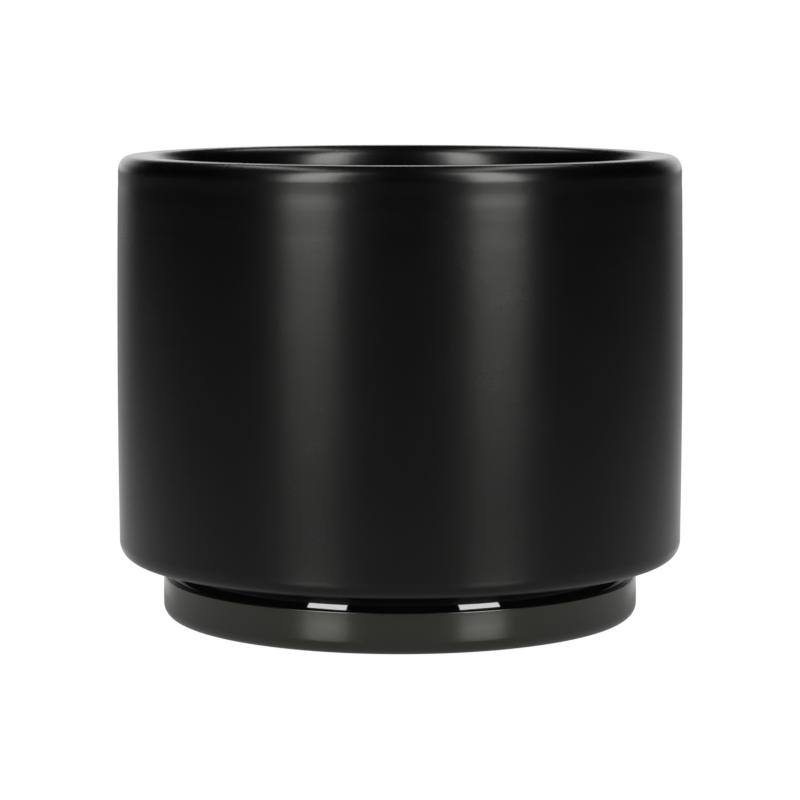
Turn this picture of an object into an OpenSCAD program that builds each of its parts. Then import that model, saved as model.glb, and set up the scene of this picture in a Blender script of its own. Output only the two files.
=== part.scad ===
// Wide round empty candle jar that stands on a smaller round base, with a soft glossy ring between them.
// Millimetres. Z is up, the floor is z = 0 and the jar's axis is the Z axis.

/* [Vessel] */
// Outside diameter of the candle jar
vessel_d = 100; // [80:1:120]
// Height of the jar from its flat underside to the rim
vessel_h = 71; // [55:1:90]
// Thickness of the side wall
wall = 8; // [6:0.5:10]
// Thickness of the floor inside the jar
floor_t = 9; // [6:0.5:12]
// Rounding of the rim's outer edge next to the crown
rim_outer_r = 2.1; // [1:0.1:3]
// Slower rounding from there down to the outside wall
rim_outer_side_r = 4.6; // [3.2:0.1:6]
// Rounding of the rim's inner edge next to the crown
rim_inner_r = 2.4; // [1:0.1:3]
// Slower rounding from there down to the inside wall
rim_inner_side_r = 8; // [3.5:0.5:10]
// Rounding of the lower outer corner
heel_r = 3; // [1:0.1:5]
// Rounding where the inside wall meets the floor
well_r = 6; // [2:0.5:10]

/* [Locating foot] */
// Outside diameter of the foot under the jar, which drops inside the ring
spigot_d = 65; // [56:0.5:65.4]
// How far the foot stands below the jar's flat underside
spigot_h = 2.2; // [1:0.1:2.6]
// Width of the foot from its outer to its inner edge
spigot_w = 3.6; // [2.5:0.1:6]

/* [Seat ring] */
// Free height of the ring between the base and the jar
seat_h = 3.15; // [3:0.05:5]
// Largest diameter of the ring
seat_d = 82; // [78:0.5:82]
// Inside diameter of the ring
seat_bore_d = 66; // [65.8:0.2:67]
// Radius of the ring's bulging outer face
seat_bulge_r = 5.5; // [5:0.5:14]
// Depth of the tongue that keys the ring to the base
tongue_h = 1.5; // [0.8:0.1:2]
// Width of the tongue
tongue_w = 2.8; // [2:0.1:3]

/* [Base] */
// Diameter of the round base
base_d = 84.3; // [84:0.1:90]
// Height of the base without its pads
base_h = 7.45; // [6.5:0.05:10]
// Rounding of the base's lower edge
base_lower_r = 2.3; // [1:0.1:3]
// Rounding of the base's upper edge
base_upper_r = 0.35; // [0.2:0.05:0.8]
// Diameter of the hollow under the base
hollow_d = 52; // [30:1:54]
// Depth of the hollow under the base
hollow_h = 2.5; // [1:0.1:3]

/* [Pads] */
// Diameter of each soft pad
pad_d = 9; // [6:0.5:9]
// Thickness of each pad
pad_t = 1.5; // [1.2:0.1:1.8]
// How far a pad stands below the base
pad_proud = 0.5; // [0.3:0.1:0.8]
// Distance from the axis to the middle of each pad
pad_circle_r = 32.5; // [31.5:0.5:34]

/* [Hidden] */
$fn = 96;
// clearance between the tongue and its groove, and round each pad in its pocket
fit_gap = 0.1;
cut = 1;
base_z = pad_proud;
base_top_z = base_z + base_h;
vessel_z = base_top_z + seat_h;
top_z = vessel_z + vessel_h;
vessel_r = vessel_d / 2;
well_wall_r = vessel_r - wall;
well_z = vessel_z + floor_t;
tongue_mid_r = (seat_bore_d + seat_d) / 4 - 1;
// direction, from the roundings' middles, in which the rim's edges change from tight to slow rounding
split_x = 0.96;
split_z = 0.28;
// how far the two wedges that are cut off a rim's edge reach along that direction
slow_reach = 12.5;
tight_reach = 5;
// the bulge's middle lies below the base's top, so all of the ring's face that shows leans back
bulge_drop = 0.5;
bulge_x = seat_d / 2 - sqrt(pow(seat_bulge_r, 2) - pow(bulge_drop, 2));
bulge_z = base_top_z - bulge_drop;

// a quarter round that fills the corner at (x, z); sx and sz point from the corner into the material
module corner_round(x, z, r, sx, sz) {
    difference() {
        translate([x + (sx < 0 ? -r : -cut), z + (sz < 0 ? -r : -cut)])
            square([r + cut, r + cut]);
        translate([x + sx * r, z + sz * r])
            circle(r = r);
    }
}

// the fillet of radius r between a wall at x and a floor at z, on the open side given by sx and sz
module inside_round(x, z, r, sx, sz) {
    difference() {
        translate([min(x, x + sx * r), min(z, z + sz * r)])
            square([r, r]);
        translate([x + sx * r, z + sz * r])
            circle(r = r);
    }
}

// what is cut off a rim's edge at (0, 0), with the material at its lower left: round with radius tight at
// the crown, then with radius slow down to the wall
module rim_round(tight, slow) {
    translate([-slow, -tight - (slow - tight) * split_z])
        difference() {
            polygon([[0, 0], [slow_reach * split_x, 0], [slow_reach * split_x, slow_reach * split_z]]);
            circle(r = slow);
        }
    translate([-slow + (slow - tight) * split_x, -tight])
        difference() {
            polygon([
                [0, 0],
                [tight_reach * split_x, tight_reach * split_z],
                [tight_reach * split_x, tight + cut],
                [0, tight + cut]
            ]);
            circle(r = tight);
        }
}

module vessel_profile() {
    difference() {
        translate([0, vessel_z])
            square([vessel_r, vessel_h]);
        difference() {
            translate([0, well_z])
                square([well_wall_r, vessel_h]);
            inside_round(well_wall_r, well_z, well_r, -1, 1);
        }
        translate([vessel_r, top_z])
            rim_round(rim_outer_r, rim_outer_side_r);
        translate([well_wall_r, top_z])
            mirror([1, 0])
                rim_round(rim_inner_r, rim_inner_side_r);
        corner_round(vessel_r, vessel_z, heel_r, -1, 1);
    }
    difference() {
        translate([spigot_d / 2 - spigot_w, vessel_z - spigot_h])
            square([spigot_w, spigot_h + cut]);
        corner_round(spigot_d / 2, vessel_z - spigot_h, 0.8, -1, 1);
        corner_round(spigot_d / 2 - spigot_w, vessel_z - spigot_h, 0.8, 1, 1);
    }
}

// the candle jar: thick wall, rounded rim, filleted well and a low foot ring underneath
module vessel() {
    color([0.03, 0.03, 0.03])
        rotate_extrude()
            vessel_profile();
}

// the soft ring: bulging outer face, flat top and bottom, and a tongue that keys into the base
module seat_ring() {
    color([0.01, 0.01, 0.01])
        rotate_extrude() {
            difference() {
                translate([seat_bore_d / 2, base_top_z])
                    square([seat_d / 2 - seat_bore_d / 2, seat_h]);
                difference() {
                    translate([bulge_x, base_top_z - cut])
                        square([seat_bulge_r + cut, seat_h + 2 * cut]);
                    translate([bulge_x, bulge_z])
                        circle(r = seat_bulge_r);
                }
                corner_round(seat_bore_d / 2, vessel_z, 0.5, 1, -1);
                corner_round(seat_bore_d / 2, base_top_z, 0.5, 1, 1);
            }
            translate([tongue_mid_r - tongue_w / 2, base_top_z - tongue_h])
                square([tongue_w, tongue_h + 0.5]);
        }
}

module base_profile() {
    difference() {
        translate([0, base_z])
            square([base_d / 2, base_h]);
        corner_round(base_d / 2, base_z, base_lower_r, -1, 1);
        corner_round(base_d / 2, base_top_z, base_upper_r, -1, -1);
        translate([tongue_mid_r - tongue_w / 2 - fit_gap, base_top_z - tongue_h - fit_gap])
            square([tongue_w + 2 * fit_gap, tongue_h + fit_gap + cut]);
        difference() {
            translate([0, base_z - cut])
                square([hollow_d / 2, hollow_h + cut]);
            inside_round(hollow_d / 2, base_z + hollow_h, 1, -1, -1);
        }
        corner_round(hollow_d / 2, base_z, 0.6, 1, 1);
    }
}

// puts the children at the place of pad number n
module at_pad(n) {
    rotate([0, 0, 45 + 90 * n])
        translate([pad_circle_r, 0, 0])
            children();
}

// the round base, with a groove for the ring, a hollow underside and a shallow pocket for each pad
module base() {
    color([0.04, 0.04, 0.04])
        difference() {
            rotate_extrude()
                base_profile();
            for (n = [0:3])
                at_pad(n)
                    translate([0, 0, -cut])
                        cylinder(d = pad_d + 2 * fit_gap, h = pad_t + cut);
        }
}

module pad() {
    color([0.1, 0.1, 0.1])
        rotate_extrude()
            difference() {
                square([pad_d / 2, pad_t]);
                corner_round(pad_d / 2, 0, 0.35, -1, 1);
            }
}

module foot_pad_1() {
    at_pad(0)
        pad();
}

module foot_pad_2() {
    at_pad(1)
        pad();
}

module foot_pad_3() {
    at_pad(2)
        pad();
}

module foot_pad_4() {
    at_pad(3)
        pad();
}

vessel();
seat_ring();
base();
foot_pad_1();
foot_pad_2();
foot_pad_3();
foot_pad_4();
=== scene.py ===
"""Empty candle jar: a satin black jar on a smaller round base, with a glossy black ring between them."""
import math

import bmesh
import bpy
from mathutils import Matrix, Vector


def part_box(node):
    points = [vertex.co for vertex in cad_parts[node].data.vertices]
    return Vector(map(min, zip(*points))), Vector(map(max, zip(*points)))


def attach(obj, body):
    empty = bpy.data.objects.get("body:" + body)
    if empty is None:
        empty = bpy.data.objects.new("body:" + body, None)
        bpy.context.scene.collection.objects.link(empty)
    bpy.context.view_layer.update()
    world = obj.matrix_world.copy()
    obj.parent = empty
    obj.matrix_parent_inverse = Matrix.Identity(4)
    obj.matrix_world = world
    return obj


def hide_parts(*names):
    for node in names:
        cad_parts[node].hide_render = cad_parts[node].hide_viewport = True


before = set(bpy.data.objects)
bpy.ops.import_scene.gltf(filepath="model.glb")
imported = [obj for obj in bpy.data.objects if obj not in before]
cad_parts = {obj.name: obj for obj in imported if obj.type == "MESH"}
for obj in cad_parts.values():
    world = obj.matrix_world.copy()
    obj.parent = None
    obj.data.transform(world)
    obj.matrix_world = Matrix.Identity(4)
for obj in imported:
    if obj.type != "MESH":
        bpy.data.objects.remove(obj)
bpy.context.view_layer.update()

MM = 0.001

# Lathe meshes: steps about the axis, points added on straight runs, and the angles in degrees that stay sharp
TURN_STEPS = 240
ARC_STEPS = 24
SMALL_ARC_STEPS = 8
RUN_SHORTEST = 0.3
RUN_POINTS_PER_MM = 1.5
RUN_FEWEST = 4
RUN_MOST = 40
RUN_PACKING = 0.9
SAME_POINT = 1e-6
JAR_WALL_ROWS = 90
BASE_WALL_ROWS = 24
SHARP_ANGLE = 40
RING_SHARP_ANGLE = 25

# Shape of the jar, in millimetres; heights come from the CAD boxes. The rim's edges turn from their slow
# rounding to their tight one where the surface faces along (SPLIT_X, SPLIT_Z)
RIM_OUTER_R = 2.1
RIM_OUTER_SIDE_R = 4.6
RIM_INNER_R = 2.4
RIM_INNER_SIDE_R = 8.0
SPLIT_X = 0.96
SPLIT_Z = 0.28
WALL = 8.0
HEEL_R = 3.0
WELL_R = 6.0
FLOOR_T = 9.0
SPIGOT_R = 32.5
SPIGOT_W = 3.6
SPIGOT_ROUND = 0.8

# How far the jar's wall lies inside its widest circle: at its top, at its foot, in the neck and in the ripple;
# and how wide the neck and the ripple are, and how far below the rim's roundings, all in millimetres
BARREL_TOP = 0.42
BARREL_FOOT = 0.12
NECK_DEPTH = 0.046
NECK_WIDTH = 1.37
NECK_BELOW_RIM = 1.84
RIPPLE_DEPTH = 0.01
RIPPLE_WIDTH = 1.4
RIPPLE_BELOW_RIM = 8.25

# Shape of the seat ring and of the base, in millimetres. The middle of the ring's bulge lies below the base's
# top, so the face that shows leans back; FIT_GAP is the clearance in the ring's groove and round each pad
RING_BULGE_R = 8.8
RING_BULGE_DROP = 1.46
RING_EDGE_R = 0.5
RING_BORE_GAP = 0.5
TONGUE_W = 2.8
TONGUE_INSET = 1.0
FIT_GAP = 0.1
BASE_LOWER_R = 2.3
BASE_UPPER_R = 0.35
BASE_BARREL = 0.06
HOLLOW_R = 26.0
HOLLOW_H = 2.5
HOLLOW_ROUND = 1.0
HOLLOW_LIP_R = 0.6
PAD_COUNT = 4
PAD_POCKET_H = 1.0

# Materials: the middle of what a noise gives, how far fine flecks move the glaze's roughness, the turn of its
# anisotropy that lengthens highlights up and down, and how deep each fine relief is, in millimetres
NOISE_SPAN = (0.3, 0.7)
FLECK_ROUGHNESS = 0.007
QUARTER_TURN = 0.25
GRAIN_DEPTH = 0.006
ORANGE_PEEL_DEPTH = 0.01
TURNING_DEPTH = 0.008
RING_SWELL_DEPTH = 0.001
PAD_PEBBLE_DEPTH = 0.03

# Studio floor, in millimetres: white to the camera, and for what the jar mirrors a dim painted glow: painted
# spill of light, painted shade near the jar and a painted pool of light behind it.
# Its gloss rises and falls again over the four radii of GLOSS_RING, where the base mirrors it
FLOOR_SIZE = 8000
FLOOR_BELOW = 0.1
FLOOR_WHITE = 1.0
FLOOR_COLOR = (0.02, 0.02, 0.02)
FLOOR_IOR = 1.55
FLOOR_ROUGHNESS = 0.16
GLOSS_PEAK = 0.48
GLOSS_RING = (54, 74, 88, 98)
# Painted light on the floor's emission, seen only in reflections: painted spill that fades with distance,
# painted shade that darkens it near the jar's foot, and a painted pool of light behind the jar
PAINTED_SPILL_PEAK = 0.24
PAINTED_SHADE_DEPTH = 0.5
PAINTED_SHADE_NEAR = 45
PAINTED_SHADE_FAR = 95
PAINTED_SPILL_FADE = 1000
PAINTED_POOL_BACK = 120
PAINTED_POOL_PEAK = 0.8
PAINTED_POOL_FADE = 100

# Tall softboxes in front: the compass angles of their near and far edges from the camera's side, in degrees,
# and in millimetres the heights of their ends, their distance, and the spot near the jar's front they face
SOFTBOX_LEFT = (-25.7, -46.0)
SOFTBOX_RIGHT = (28.8, 50.0)
SOFTBOX_LOW = 114
SOFTBOX_HIGH = 1100
SOFTBOX_DISTANCE = 700
SOFTBOX_AIM_ASIDE = 15
SOFTBOX_AIM_FRONT = 38
SOFTBOX_RADIANCE = 7.8

# Narrow strip lights overhead, in millimetres
STRIP_LEFT = -400
STRIP_RIGHT = 350
STRIP_HEIGHT = 1130
STRIP_WIDTH = 160
STRIP_LENGTH = 1350
STRIP_BACK = 370
STRIP_RADIANCE = 3.4

# Glow behind the jar, on the back wall and on the floor: full up to one angle aside of straight back, gone by
# the next, in degrees; the wall's glow also fades between two angles above the floor
BACK_GLOW = 1.2
BACK_FULL = 20
BACK_END = 45
BACK_FULL_HEIGHT = 12
BACK_END_HEIGHT = 22
FLOOR_GLOW = 0.22
FLOOR_FULL = 25
FLOOR_END = 55
AMBIENT = 0.01

# Camera: millimetres from the axis and above the floor, degrees below level, and lens for a 36 mm sensor
CAMERA_BACK = 565.0
CAMERA_HEIGHT = 104.4
CAMERA_PITCH = 6.648
CAMERA_LENS = 143.9


# ---------------------------------------------------------------- profiles and lathe work

def arc(r_mid, z_mid, radius, start, end, steps=ARC_STEPS):
    """Points of a circular arc in the (r, z) plane, angles in degrees from the outward direction."""
    turn = (end - start) / steps
    angles = [math.radians(start + turn * i) for i in range(steps + 1)]
    return [(r_mid + radius * math.cos(a), z_mid + radius * math.sin(a)) for a in angles]


def line(start, end, steps):
    """Points strictly between start and end, packed close to both ends so that shading stays crisp there."""
    points = []
    for i in range(1, steps):
        t = i / steps
        t = t - RUN_PACKING * math.sin(2 * math.pi * t) / (2 * math.pi)
        points.append((start[0] + (end[0] - start[0]) * t, start[1] + (end[1] - start[1]) * t))
    return points


def chain(*parts):
    """One profile out of several runs of points, with straight runs of extra points between them."""
    points = []
    for part in parts:
        if points:
            gap = math.dist(points[-1], part[0])
            if gap > RUN_SHORTEST:
                steps = max(RUN_FEWEST, min(RUN_MOST, int(gap * RUN_POINTS_PER_MM)))
                points += line(points[-1], part[0], steps)
            elif gap < SAME_POINT:
                part = part[1:]
        points += part
    return points


def lathe(name, profile, closed):
    """Turns a profile in millimetres about the Z axis. An open profile starts and ends on the axis."""
    mesh = bmesh.new()
    rings = []
    for r, z in profile:
        if r < SAME_POINT:
            rings.append([mesh.verts.new((0, 0, z * MM))])
            continue
        ring = []
        for i in range(TURN_STEPS):
            a = 2 * math.pi * i / TURN_STEPS
            ring.append(mesh.verts.new((r * math.cos(a) * MM, r * math.sin(a) * MM, z * MM)))
        rings.append(ring)
    pairs = list(zip(rings, rings[1:]))
    if closed:
        pairs.append((rings[-1], rings[0]))
    for lower, upper in pairs:
        for i in range(TURN_STEPS):
            j = (i + 1) % TURN_STEPS
            if len(lower) == 1:
                mesh.faces.new((lower[0], upper[j], upper[i]))
            elif len(upper) == 1:
                mesh.faces.new((lower[i], lower[j], upper[0]))
            else:
                mesh.faces.new((lower[i], lower[j], upper[j], upper[i]))
    bmesh.ops.recalc_face_normals(mesh, faces=mesh.faces)
    data = bpy.data.meshes.new(name)
    mesh.to_mesh(data)
    mesh.free()
    data.shade_smooth()
    piece = bpy.data.objects.new(name, data)
    bpy.context.scene.collection.objects.link(piece)
    return piece


def jar_wall_radius(z, low, high, widest):
    """Outside radius of the jar's wall: a slight barrel, and a neck and a ripple under the rim."""
    t = (z - low) / (high - low)
    spread = math.sqrt(BARREL_FOOT) + math.sqrt(BARREL_TOP)
    sag = (spread * t - math.sqrt(BARREL_FOOT)) ** 2
    neck = NECK_DEPTH * math.exp(-((z - high + NECK_BELOW_RIM) / NECK_WIDTH) ** 2)
    ripple = RIPPLE_DEPTH * math.exp(-((z - high + RIPPLE_BELOW_RIM) / RIPPLE_WIDTH) ** 2)
    return widest - sag - neck - ripple


def rim_edge(wall_r, top_z, tight, slow, side):
    """The rim's edge from the wall up to the crown: a slow rounding, then a tight one. Side is 1 or -1."""
    split = math.degrees(math.atan2(SPLIT_Z, SPLIT_X))
    step = slow - tight
    tight_x, tight_z = slow - step * SPLIT_X, tight
    slow_z = tight + step * SPLIT_Z
    points = arc(-slow, -slow_z, slow, 0, split) + arc(-tight_x, -tight_z, tight, split, 90)[1:]
    return [(wall_r + side * x, top_z + z) for x, z in points]


def make_jar():
    """The candle jar, from the middle of its underside round the rim and down to the middle of its well."""
    low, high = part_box("vessel")
    foot_z, top_z, widest = low.z / MM, high.z / MM, high.x / MM
    under_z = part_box("seat_ring")[1].z / MM
    heel_z = under_z + HEEL_R
    rim_z = top_z - RIM_OUTER_R - (RIM_OUTER_SIDE_R - RIM_OUTER_R) * SPLIT_Z
    well_r, well_z = widest - WALL, under_z + FLOOR_T
    heel_r = jar_wall_radius(heel_z, heel_z, rim_z, widest)
    rim_r = jar_wall_radius(rim_z, heel_z, rim_z, widest)
    spigot_in = SPIGOT_R - SPIGOT_W
    heights = [heel_z + (rim_z - heel_z) * i / JAR_WALL_ROWS for i in range(JAR_WALL_ROWS + 1)]
    wall = [(jar_wall_radius(z, heel_z, rim_z, widest), z) for z in heights]
    profile = chain(
        [(0, under_z)],
        [(spigot_in, under_z)],
        arc(spigot_in + SPIGOT_ROUND, foot_z + SPIGOT_ROUND, SPIGOT_ROUND, 180, 270, SMALL_ARC_STEPS),
        arc(SPIGOT_R - SPIGOT_ROUND, foot_z + SPIGOT_ROUND, SPIGOT_ROUND, 270, 360, SMALL_ARC_STEPS),
        [(SPIGOT_R, under_z)],
        arc(heel_r - HEEL_R, heel_z, HEEL_R, -90, 0),
        wall,
        rim_edge(rim_r, top_z, RIM_OUTER_R, RIM_OUTER_SIDE_R, 1),
        rim_edge(well_r, top_z, RIM_INNER_R, RIM_INNER_SIDE_R, -1)[::-1],
        arc(well_r - WELL_R, well_z + WELL_R, WELL_R, 0, -90),
        [(0, well_z)],
    )
    piece = lathe("jar_shell", profile, closed=False)
    sharpen(piece, SHARP_ANGLE)
    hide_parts("vessel")
    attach(piece, "jar")
    return piece


def sharpen(piece, degrees):
    """Marks the edges that turn by more than the given angle as sharp, so that flat faces shade flat."""
    piece.data.set_sharp_from_angle(angle=math.radians(degrees))


def make_ring():
    """The soft ring: bulging outer face, flat top and bottom, and the tongue that keys into the base."""
    low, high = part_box("seat_ring")
    top_z, tongue_z, outer_r = high.z / MM, low.z / MM, high.x / MM
    seat_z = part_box("base")[1].z / MM
    inner_r = SPIGOT_R + RING_BORE_GAP
    from_angle = math.degrees(math.asin(RING_BULGE_DROP / RING_BULGE_R))
    mid_r = outer_r - RING_BULGE_R * math.cos(math.radians(from_angle))
    mid_z = seat_z - RING_BULGE_DROP
    to_angle = math.degrees(math.asin((top_z - mid_z) / RING_BULGE_R))
    tongue_mid = (inner_r + outer_r) / 2 - TONGUE_INSET
    profile = chain(
        [(tongue_mid + TONGUE_W / 2, seat_z)],
        arc(mid_r, mid_z, RING_BULGE_R, from_angle, to_angle, steps=40),
        arc(inner_r + RING_EDGE_R, top_z - RING_EDGE_R, RING_EDGE_R, 90, 180, SMALL_ARC_STEPS),
        arc(inner_r + RING_EDGE_R, seat_z + RING_EDGE_R, RING_EDGE_R, 180, 270, SMALL_ARC_STEPS),
        [(tongue_mid - TONGUE_W / 2, seat_z)],
        [(tongue_mid - TONGUE_W / 2, tongue_z)],
        [(tongue_mid + TONGUE_W / 2, tongue_z)],
    )
    piece = lathe("seat_ring_gloss", profile, closed=True)
    sharpen(piece, RING_SHARP_ANGLE)
    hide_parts("seat_ring")
    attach(piece, "stand")
    return piece


def make_base():
    """The round base: rounded edges, a groove on top for the ring's tongue and a hollow underside."""
    low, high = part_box("base")
    bottom_z, top_z, outer_r = low.z / MM, high.z / MM, high.x / MM
    ring_low, ring_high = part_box("seat_ring")
    groove_z = ring_low.z / MM - FIT_GAP
    tongue_mid = (SPIGOT_R + RING_BORE_GAP + ring_high.x / MM) / 2 - TONGUE_INSET
    groove_in = tongue_mid - TONGUE_W / 2 - FIT_GAP
    groove_out = tongue_mid + TONGUE_W / 2 + FIT_GAP
    hollow_z = bottom_z + HOLLOW_H
    wall_z, shoulder_z = bottom_z + BASE_LOWER_R, top_z - BASE_UPPER_R
    shoulder_r = outer_r - BASE_BARREL
    rise = [i / BASE_WALL_ROWS for i in range(BASE_WALL_ROWS + 1)]
    wall = [(outer_r - BASE_BARREL * t**2, wall_z + (shoulder_z - wall_z) * t) for t in rise]
    profile = chain(
        [(0, hollow_z)],
        arc(HOLLOW_R - HOLLOW_ROUND, hollow_z - HOLLOW_ROUND, HOLLOW_ROUND, 90, 0, steps=10),
        arc(HOLLOW_R + HOLLOW_LIP_R, bottom_z + HOLLOW_LIP_R, HOLLOW_LIP_R, 180, 270, SMALL_ARC_STEPS),
        arc(outer_r - BASE_LOWER_R, wall_z, BASE_LOWER_R, -90, 0),
        wall,
        arc(shoulder_r - BASE_UPPER_R, shoulder_z, BASE_UPPER_R, 0, 90, steps=16),
        [(groove_out, top_z)],
        [(groove_out, groove_z)],
        [(groove_in, groove_z)],
        [(groove_in, top_z)],
        [(0, top_z)],
    )
    piece = lathe("base_plinth", profile, closed=False)
    cut_pad_pockets(piece, bottom_z)
    sharpen(piece, SHARP_ANGLE)
    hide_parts("base")
    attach(piece, "stand")
    return piece


def cut_pad_pockets(piece, bottom_z):
    """Cuts a shallow round pocket into the underside for each pad."""
    cutters = []
    for n in range(1, PAD_COUNT + 1):
        low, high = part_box(f"foot_pad_{n}")
        middle = (low + high) / 2
        radius = (high.x - low.x) / 2 + FIT_GAP * MM
        bpy.ops.mesh.primitive_cylinder_add(
            vertices=64,
            radius=radius,
            depth=2 * PAD_POCKET_H * MM,
            location=(middle.x, middle.y, bottom_z * MM),
        )
        cutters.append(bpy.context.object)
    for cutter in cutters:
        step = piece.modifiers.new("pocket", "BOOLEAN")
        step.operation = "DIFFERENCE"
        step.solver = "EXACT"
        step.object = cutter
    graph = bpy.context.evaluated_depsgraph_get()
    finished = bpy.data.meshes.new_from_object(piece.evaluated_get(graph))
    piece.modifiers.clear()
    piece.data = finished
    finished.shade_smooth()
    for cutter in cutters:
        bpy.data.objects.remove(cutter)


# ---------------------------------------------------------------- materials

class Nodes:
    """Short calls for building a node tree."""

    def __init__(self, tree):
        self.tree = tree

    def add(self, kind, **settings):
        node = self.tree.nodes.new(kind)
        for key, value in settings.items():
            setattr(node, key, value)
        return node

    def link(self, source, target):
        self.tree.links.new(source, target)

    def noise(self, place, scale, detail=3.0, rough=0.5):
        node = self.add("ShaderNodeTexNoise")
        node.inputs["Scale"].default_value = scale
        node.inputs["Detail"].default_value = detail
        node.inputs["Roughness"].default_value = rough
        self.link(place, node.inputs["Vector"])
        return node.outputs["Fac"]

    def span(self, value, low, high, to_low, to_high, smooth=False):
        node = self.add("ShaderNodeMapRange")
        if smooth:
            node.interpolation_type = "SMOOTHSTEP"
        self.link(value, node.inputs["Value"])
        for key, number in zip(("From Min", "From Max", "To Min", "To Max"), (low, high, to_low, to_high)):
            node.inputs[key].default_value = number
        return node.outputs["Result"]

    def math(self, operation, a, b=None, c=None):
        node = self.add("ShaderNodeMath", operation=operation)
        for socket, value in zip(node.inputs, (a, b, c)):
            if value is None:
                continue
            if isinstance(value, (int, float)):
                socket.default_value = value
            else:
                self.link(value, socket)
        return node.outputs["Value"]

    def mix_color(self, factor, first, second):
        node = self.add("ShaderNodeMix", data_type="RGBA")
        self.link(factor, node.inputs["Factor"])
        node.inputs["A"].default_value = (*first, 1)
        node.inputs["B"].default_value = (*second, 1)
        return node.outputs["Result"]

    def bump(self, height, distance, normal=None):
        node = self.add("ShaderNodeBump")
        node.inputs["Strength"].default_value = 1.0
        node.inputs["Distance"].default_value = distance
        self.link(height, node.inputs["Height"])
        if normal is not None:
            self.link(normal, node.inputs["Normal"])
        return node.outputs["Normal"]

    def stretched(self, place, x, y, z):
        node = self.add("ShaderNodeMapping")
        node.inputs["Scale"].default_value = (x, y, z)
        self.link(place, node.inputs["Vector"])
        return node.outputs["Vector"]


def new_material(name, ior):
    """A material with an empty node tree but for its surface shader, which is returned with it."""
    material = bpy.data.materials.new(name)
    material.use_nodes = True
    tree = Nodes(material.node_tree)
    shader = material.node_tree.nodes["Principled BSDF"]
    shader.inputs["IOR"].default_value = ior
    place = tree.add("ShaderNodeTexCoord").outputs["Object"]
    return material, tree, shader, place


def satin_glaze(name, dark, light, rough, streak, ior, turned, tint):
    """Satin black glaze: clouded colour, a fine grain, faint turning lines and a roughness that wanders.

    Rough is the pair of roughnesses it wanders between, streak the share of that wander that is drawn out
    level, turned the anisotropy that lengthens its highlights up and down, and tint their colour.
    """
    material, tree, shader, place = new_material(name, ior)
    shader.inputs["Anisotropic"].default_value = turned
    shader.inputs["Anisotropic Rotation"].default_value = QUARTER_TURN
    shader.inputs["Specular Tint"].default_value = (*tint, 1)
    around = tree.add("ShaderNodeTangent", direction_type="RADIAL", axis="Z")
    tree.link(around.outputs["Tangent"], shader.inputs["Tangent"])
    cloud = tree.noise(place, scale=90, detail=4, rough=0.55)
    color = tree.mix_color(tree.span(cloud, *NOISE_SPAN, 0, 1), dark, light)
    tree.link(color, shader.inputs["Base Color"])
    smear = tree.noise(tree.stretched(place, 0.35, 0.35, 1.6), scale=260, detail=4, rough=0.6)
    wander = tree.math("ADD", tree.math("MULTIPLY", cloud, 1 - streak), tree.math("MULTIPLY", smear, streak))
    fleck = tree.noise(place, scale=1500, detail=2, rough=0.6)
    fleck = tree.span(fleck, *NOISE_SPAN, -FLECK_ROUGHNESS, FLECK_ROUGHNESS)
    roughness = tree.math("ADD", tree.span(wander, *NOISE_SPAN, *rough), fleck)
    tree.link(roughness, shader.inputs["Roughness"])
    grain = tree.noise(place, scale=2600, detail=2)
    orange_peel = tree.noise(place, scale=420, detail=2)
    turning = tree.noise(tree.stretched(place, 0.02, 0.02, 1), scale=900, detail=3, rough=0.6)
    normal = tree.bump(grain, GRAIN_DEPTH * MM)
    normal = tree.bump(orange_peel, ORANGE_PEEL_DEPTH * MM, normal)
    normal = tree.bump(turning, TURNING_DEPTH * MM, normal)
    tree.link(normal, shader.inputs["Normal"])
    return material


def gloss_black():
    """Polished black ring: nearly a mirror, with a very slight wander in its polish."""
    material, tree, shader, place = new_material("ring_gloss_black", ior=1.77)
    cloud = tree.noise(place, scale=160)
    color = tree.mix_color(cloud, (0.0015, 0.0015, 0.0015), (0.003, 0.003, 0.003))
    tree.link(color, shader.inputs["Base Color"])
    tree.link(tree.span(cloud, *NOISE_SPAN, 0.02, 0.05), shader.inputs["Roughness"])
    swell = tree.noise(place, scale=500, detail=2)
    tree.link(tree.bump(swell, RING_SWELL_DEPTH * MM), shader.inputs["Normal"])
    return material


def soft_pad():
    """Matt dark grey pad with a fine pebbled surface."""
    material, tree, shader, place = new_material("pad_soft_grey", ior=1.45)
    cloud = tree.noise(place, scale=700, rough=0.6)
    tree.link(tree.mix_color(cloud, (0.03, 0.03, 0.03), (0.07, 0.07, 0.068)), shader.inputs["Base Color"])
    tree.link(tree.span(cloud, *NOISE_SPAN, 0.65, 0.85), shader.inputs["Roughness"])
    pebbles = tree.noise(place, scale=3000, detail=2)
    tree.link(tree.bump(pebbles, PAD_PEBBLE_DEPTH * MM), shader.inputs["Normal"])
    return material


def paint(piece, material):
    piece.data.materials.clear()
    piece.data.materials.append(material)


# ---------------------------------------------------------------- studio

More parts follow.
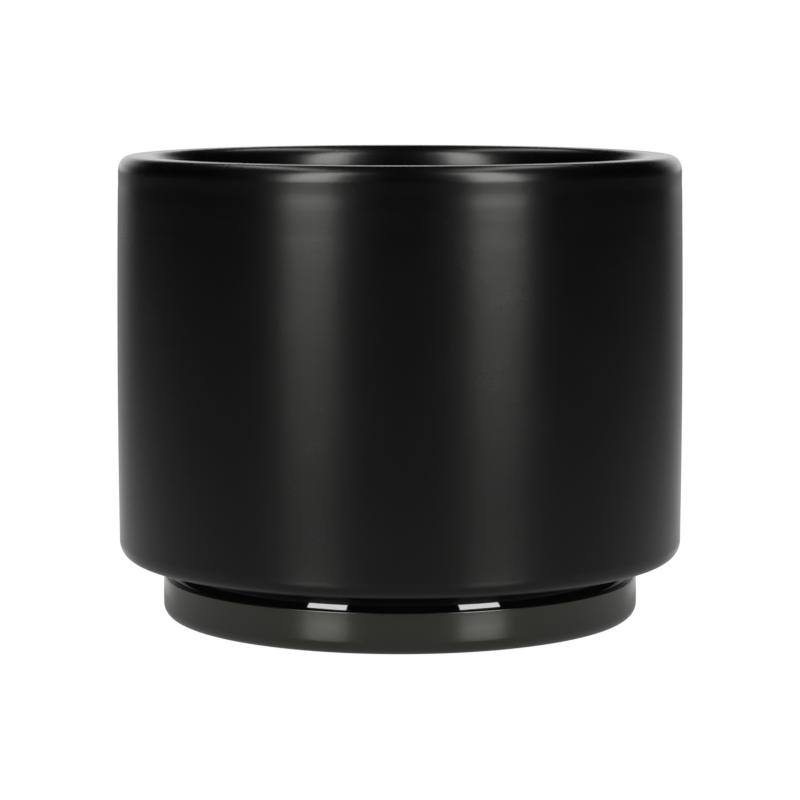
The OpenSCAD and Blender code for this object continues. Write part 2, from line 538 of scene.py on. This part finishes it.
def make_floor():
    """A plain pale floor: white to look at, and for what the jar mirrors a painted glow with a painted pool of
    light behind the jar.
    """
    bpy.ops.mesh.primitive_plane_add(size=FLOOR_SIZE * MM, location=(0, 0, -FLOOR_BELOW * MM))
    floor = bpy.context.object
    floor.name = "stage_floor"
    material, tree, shader, place = new_material("stage_floor_pale", ior=FLOOR_IOR)
    shader.inputs["Base Color"].default_value = (*FLOOR_COLOR, 1)
    shader.inputs["Roughness"].default_value = FLOOR_ROUGHNESS
    shader.inputs["Emission Color"].default_value = (1, 1, 1, 1)
    reach = distance_from(tree, place, (0, 0, 0))
    tree.link(floor_gloss(tree, reach), shader.inputs["Specular IOR Level"])
    tree.link(floor_painted_light(tree, place, reach), shader.inputs["Emission Strength"])
    white = tree.add("ShaderNodeEmission")
    white.inputs["Strength"].default_value = FLOOR_WHITE
    choice = tree.add("ShaderNodeMixShader")
    tree.link(tree.add("ShaderNodeLightPath").outputs["Is Camera Ray"], choice.inputs["Fac"])
    tree.link(shader.outputs["BSDF"], choice.inputs[1])
    tree.link(white.outputs["Emission"], choice.inputs[2])
    tree.link(choice.outputs["Shader"], material.node_tree.nodes["Material Output"].inputs["Surface"])
    paint(floor, material)


def distance_from(tree, place, point):
    """Distance of the shaded place from a point, in metres."""
    node = tree.add("ShaderNodeVectorMath", operation="DISTANCE")
    tree.link(place, node.inputs[0])
    node.inputs[1].default_value = point
    return node.outputs["Value"]


def floor_gloss(tree, reach):
    """The floor's specular level: a soft ring round the jar."""
    rise_from, rise_to, fall_from, fall_to = [r * MM for r in GLOSS_RING]
    rise = tree.span(reach, rise_from, rise_to, 0, 1, smooth=True)
    fall = tree.span(reach, fall_from, fall_to, GLOSS_PEAK, 0, smooth=True)
    return tree.math("MULTIPLY", rise, fall)


def floor_painted_light(tree, place, reach):
    """The floor's painted light: a painted spill of light, painted shade close to the jar, and a painted pool
    and glow behind it.
    """
    # Painted shade: darkens the painted spill close to the jar's foot, standing in for its shadow
    shade = tree.span(reach, PAINTED_SHADE_NEAR * MM, PAINTED_SHADE_FAR * MM, 1 - PAINTED_SHADE_DEPTH, 1, smooth=True)
    painted_spill = tree.math("MULTIPLY", fading(tree, reach, PAINTED_SPILL_PEAK, PAINTED_SPILL_FADE), shade)
    # Painted pool of light behind the jar
    pool_distance = distance_from(tree, place, (0, PAINTED_POOL_BACK * MM, 0))
    painted_light = tree.math("ADD", painted_spill, fading(tree, pool_distance, PAINTED_POOL_PEAK, PAINTED_POOL_FADE))
    split = tree.add("ShaderNodeSeparateXYZ")
    tree.link(place, split.inputs["Vector"])
    window = back_window(tree, split.outputs["X"], split.outputs["Y"], FLOOR_FULL, FLOOR_END)
    return tree.math("MULTIPLY_ADD", window, FLOOR_GLOW, painted_light)


def fading(tree, distance, peak, fade):
    """Peak brightness that dies away exponentially with distance; fade is in millimetres."""
    return tree.math("MULTIPLY", tree.math("EXPONENT", tree.math("DIVIDE", distance, -fade * MM)), peak)


def back_window(tree, across, along, full, end):
    """One straight behind the jar, falling to nothing at the sides, between two angles in degrees."""
    aside = tree.math("DEGREES", tree.math("ARCTAN2", tree.math("ABSOLUTE", across), along))
    return tree.span(aside, full, end, 1, 0, smooth=True)


def make_area_light(name, width, length, radiance):
    """A rectangular light of even brightness, which the camera doesn't see; sizes in metres."""
    light = bpy.data.lights.new(name, "AREA")
    light.shape = "RECTANGLE"
    light.size, light.size_y = width, length
    light.energy = radiance * math.pi * width * length
    holder = bpy.data.objects.new(name, light)
    bpy.context.scene.collection.objects.link(holder)
    holder.visible_camera = False
    return holder


def make_softbox(name, near, far):
    """A tall softbox in front of the jar, between two compass angles from the camera's side, in degrees."""
    middle = math.radians((near + far) / 2)
    half = math.radians(abs(far - near) / 2)
    width = 2 * SOFTBOX_DISTANCE * math.tan(half) * MM
    height = (SOFTBOX_HIGH - SOFTBOX_LOW) * MM
    holder = make_area_light(name, width, height, SOFTBOX_RADIANCE)
    aim = Vector((math.copysign(SOFTBOX_AIM_ASIDE, near) * MM, -SOFTBOX_AIM_FRONT * MM, 0))
    away = Vector((math.sin(middle), -math.cos(middle), 0))
    holder.location = aim + away * SOFTBOX_DISTANCE * MM
    holder.location.z = (SOFTBOX_LOW + SOFTBOX_HIGH) / 2 * MM
    holder.rotation_mode = "QUATERNION"
    holder.rotation_quaternion = (-away).to_track_quat("-Z", "Y")


def make_strip(name, across):
    """A narrow strip light overhead that runs from front to back, at a distance across from the axis."""
    holder = make_area_light(name, STRIP_WIDTH * MM, STRIP_LENGTH * MM, STRIP_RADIANCE)
    holder.location = (across * MM, STRIP_BACK * MM, STRIP_HEIGHT * MM)


def make_world():
    """White behind everything for the camera; for reflections a dark room with a glowing back wall."""
    world = bpy.data.worlds.new("studio")
    world.use_nodes = True
    bpy.context.scene.world = world
    tree = Nodes(world.node_tree)
    background = world.node_tree.nodes["Background"]
    split = tree.add("ShaderNodeSeparateXYZ")
    tree.link(tree.add("ShaderNodeTexCoord").outputs["Generated"], split.inputs["Vector"])
    across, along, up = split.outputs
    height = tree.math("DEGREES", tree.math("ARCSINE", up))
    low = tree.span(height, BACK_FULL_HEIGHT, BACK_END_HEIGHT, 1, 0, smooth=True)
    window = tree.math("MULTIPLY", back_window(tree, across, along, BACK_FULL, BACK_END), low)
    glow = tree.math("MULTIPLY_ADD", window, BACK_GLOW, AMBIENT)
    seen = tree.add("ShaderNodeLightPath").outputs["Is Camera Ray"]
    strength = tree.math("MAXIMUM", seen, glow)
    tree.link(strength, background.inputs["Strength"])
    background.inputs["Color"].default_value = (1, 1, 1, 1)


def make_camera():
    data = bpy.data.cameras.new("camera")
    data.sensor_width = 36
    data.lens = CAMERA_LENS
    data.clip_start, data.clip_end = 0.01, 20
    camera = bpy.data.objects.new("camera", data)
    camera.location = (0, -CAMERA_BACK * MM, CAMERA_HEIGHT * MM)
    camera.rotation_euler = (math.radians(90 - CAMERA_PITCH), 0, 0)
    bpy.context.scene.collection.objects.link(camera)
    bpy.context.scene.camera = camera


bpy.context.scene.view_settings.view_transform = "Standard"
make_camera()
make_world()
make_floor()
make_softbox("softbox_left", *SOFTBOX_LEFT)
make_softbox("softbox_right", *SOFTBOX_RIGHT)
make_strip("strip_left", STRIP_LEFT)
make_strip("strip_right", STRIP_RIGHT)

jar_glaze = satin_glaze(
    "jar_satin_black",
    dark=(0.0004, 0.0004, 0.0004),
    light=(0.0012, 0.0012, 0.0012),
    rough=(0.255, 0.275),
    streak=0.3,
    ior=1.5,
    turned=0.6,
    tint=(1, 1, 0.97),
)
base_glaze = satin_glaze(
    "base_satin_black",
    dark=(0.0025, 0.0024, 0.002),
    light=(0.0045, 0.0044, 0.0038),
    rough=(0.19, 0.23),
    streak=0.7,
    ior=1.85,
    turned=0.0,
    tint=(1, 0.99, 0.89),
)
pad_grey = soft_pad()
paint(make_jar(), jar_glaze)
paint(make_ring(), gloss_black())
paint(make_base(), base_glaze)
for n in range(1, PAD_COUNT + 1):
    paint(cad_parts[f"foot_pad_{n}"], pad_grey)
